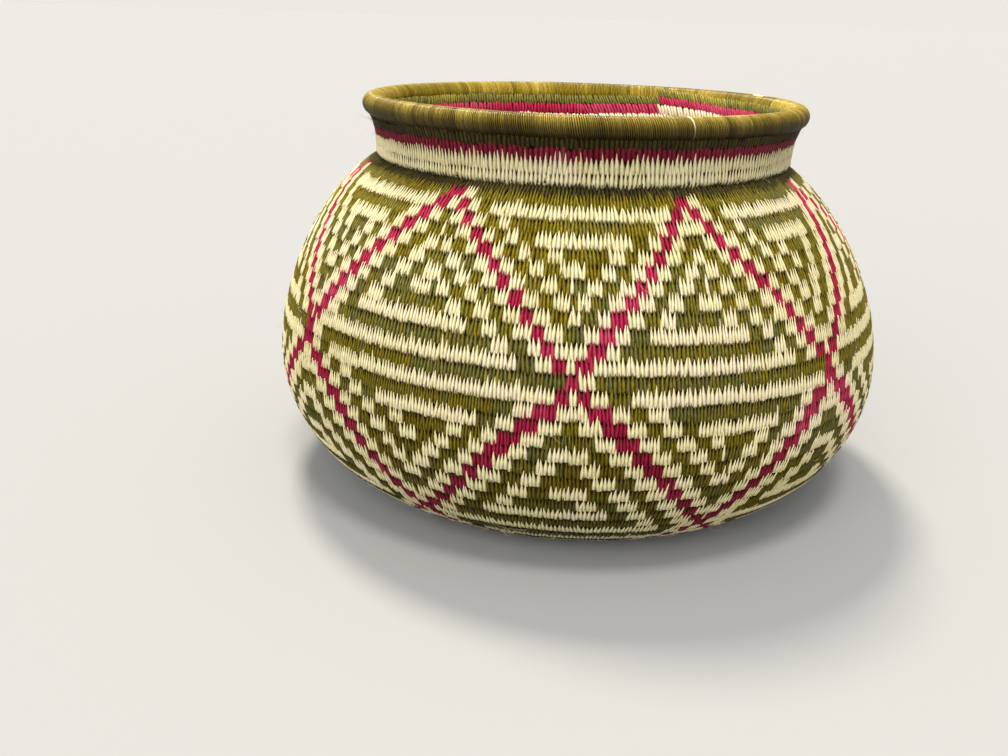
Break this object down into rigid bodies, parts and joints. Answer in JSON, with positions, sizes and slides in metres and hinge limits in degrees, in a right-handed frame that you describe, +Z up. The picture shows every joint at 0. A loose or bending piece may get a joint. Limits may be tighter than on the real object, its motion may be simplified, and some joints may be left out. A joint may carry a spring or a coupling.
{
  "type": "coiled basket",
  "caption": "Round-bellied coiled basket with a short neck, a rolled rim and a lattice pattern in cream, olive and crimson fibre.",
  "frame": {"origin": "on the table under the middle of the basket", "axes": "+Z up, -Y towards the front that the picture shows, +X to the viewer's right"},
  "size_m": [0.2593, 0.2594, 0.1609],
  "materials": {
    "olive_fibre": "dyed palm strand, satin",
    "cream_fibre": "undyed palm strand, satin",
    "crimson_fibre": "dyed palm strand, satin",
    "dark_fibre": "dark dyed palm strand, matte",
    "bundle_fibre": "undyed bundle of fibres, matte",
    "rim_strand": "fine wound strand with a soft gloss"
  },
  "bodies": {
    "root": {"start_knot": "dark_fibre", "base_coil": "dark_fibre", "wall_round_01": "cream_fibre", "wall_round_02": "olive_fibre", "wall_round_03": "cream_fibre", "wall_round_04": "olive_fibre", "wall_round_05": "cream_fibre", "wall_round_06": "olive_fibre", "wall_round_07": "cream_fibre", "wall_round_08": "olive_fibre", "wall_round_09": "cream_fibre", "wall_round_10": "olive_fibre", "wall_round_11": "cream_fibre", "wall_round_12": "olive_fibre", "wall_round_13": "cream_fibre", "wall_round_14": "olive_fibre", "wall_round_15": "cream_fibre", "wall_round_16": "olive_fibre", "wall_round_17": "cream_fibre", "wall_round_18": "olive_fibre", "wall_round_19": "cream_fibre", "wall_round_20": "olive_fibre", "wall_round_21": "cream_fibre", "wall_round_22": "olive_fibre", "wall_round_23": "cream_fibre", "wall_round_24": "olive_fibre", "wall_round_25": "cream_fibre", "wall_round_26": "olive_fibre", "wall_round_27": "cream_fibre", "wall_round_28": "olive_fibre", "wall_round_29": "cream_fibre", "wall_round_30": "olive_fibre", "wall_round_31": "cream_fibre", "wall_round_32": "olive_fibre", "wall_round_33": "dark_fibre", "neck_cream_lower": "cream_fibre", "neck_cream_upper": "cream_fibre", "neck_crimson": "crimson_fibre", "neck_olive": "dark_fibre", "coil_tail": "dark_fibre", "rim_core": "bundle_fibre", "rim_wrap": "rim_strand"}
  },
  "joints": []
}
